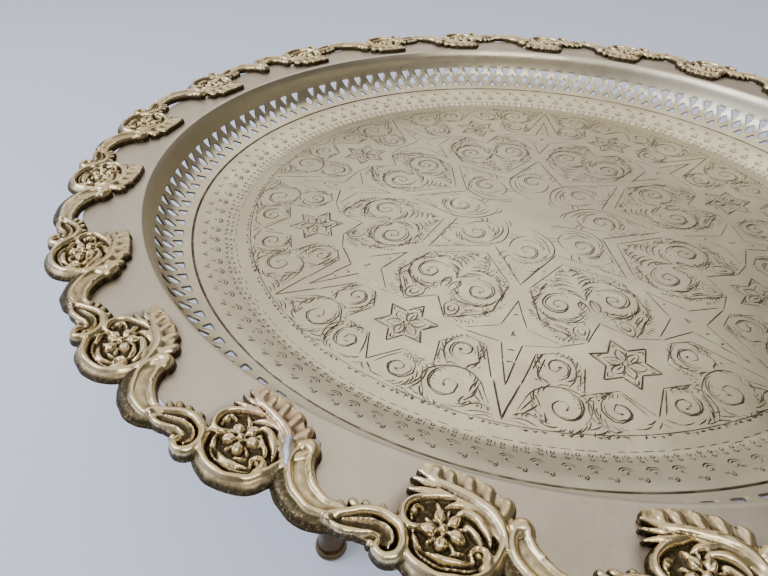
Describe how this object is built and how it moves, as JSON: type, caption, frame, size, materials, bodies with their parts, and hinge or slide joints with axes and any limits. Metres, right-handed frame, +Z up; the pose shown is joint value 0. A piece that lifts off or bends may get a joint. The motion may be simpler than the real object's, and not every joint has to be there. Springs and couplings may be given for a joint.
{
  "type": "brass tray table",
  "caption": "Round footed serving tray with an engraved floor, a pierced wall, a flat flange with a cast scroll border, and turned legs that screw in.",
  "frame": {"origin": "centre of the tray floor's top face", "axes": "+Z up, out of the tray; +Y away from the viewer in the usual view"},
  "size_m": [0.5641, 0.5658, 0.1668],
  "materials": {
    "plated_sheet": "satin silver plate, worn warm",
    "cast_rim": "pale polished high spots, dark patina in the recesses",
    "socket_brass": "dull brass",
    "leg_bronze": "dark antique brass, semi-gloss",
    "washer_leather": "matt"
  },
  "bodies": {
    "tray": {"tray_floor": "plated_sheet", "floor_border": "plated_sheet", "pierced_wall": "plated_sheet", "rim_flange": "plated_sheet", "rim_casting_01": "cast_rim", "rim_casting_02": "cast_rim", "rim_casting_03": "cast_rim", "rim_casting_04": "cast_rim", "rim_casting_05": "cast_rim", "rim_casting_06": "cast_rim", "rim_casting_07": "cast_rim", "rim_casting_08": "cast_rim", "rim_casting_09": "cast_rim", "rim_casting_10": "cast_rim", "rim_casting_11": "cast_rim", "rim_casting_12": "cast_rim", "rim_casting_13": "cast_rim", "rim_casting_14": "cast_rim", "rim_casting_15": "cast_rim", "rim_casting_16": "cast_rim", "rim_casting_17": "cast_rim", "rim_casting_18": "cast_rim", "rim_casting_19": "cast_rim", "rim_casting_20": "cast_rim", "rim_casting_21": "cast_rim", "filler_scroll": "cast_rim", "leg_socket_1": "socket_brass", "leg_socket_2": "socket_brass", "leg_socket_3": "socket_brass"},
    "washer_1": {"leg_washer_1": "washer_leather"},
    "leg_1": {"turned_leg_1": "leg_bronze", "leg_stud_1": "socket_brass"},
    "washer_2": {"leg_washer_2": "washer_leather"},
    "leg_2": {"turned_leg_2": "leg_bronze", "leg_stud_2": "socket_brass"},
    "washer_3": {"leg_washer_3": "washer_leather"},
    "leg_3": {"turned_leg_3": "leg_bronze", "leg_stud_3": "socket_brass"}
  },
  "joints": [
    {"name": "leg_1_drop", "type": "slide", "parent": "tray", "child": "washer_1", "axis": [0, 0, -1], "range_m": [0, 0.01]},
    {"name": "leg_1_unscrew", "type": "hinge", "parent": "washer_1", "child": "leg_1", "pos_m": [-0.12462, -0.16965, -0.02], "axis": [0, 0, -1], "range_deg": [0, 2881]},
    {"name": "leg_2_drop", "type": "slide", "parent": "tray", "child": "washer_2", "axis": [0, 0, -1], "range_m": [0, 0.01]},
    {"name": "leg_2_unscrew", "type": "hinge", "parent": "washer_2", "child": "leg_2", "pos_m": [0.20923, -0.0231, -0.02], "axis": [0, 0, -1], "range_deg": [0, 2881]},
    {"name": "leg_3_drop", "type": "slide", "parent": "tray", "child": "washer_3", "axis": [0, 0, -1], "range_m": [0, 0.01]},
    {"name": "leg_3_unscrew", "type": "hinge", "parent": "washer_3", "child": "leg_3", "pos_m": [-0.08461, 0.19275, -0.02], "axis": [0, 0, -1], "range_deg": [0, 2881]}
  ],
  "couplings": [
    {"joint": "leg_1_unscrew", "follows": "leg_1_drop", "rad_per_m": 5026.5},
    {"joint": "leg_2_unscrew", "follows": "leg_2_drop", "rad_per_m": 5026.5},
    {"joint": "leg_3_unscrew", "follows": "leg_3_drop", "rad_per_m": 5026.5}
  ]
}
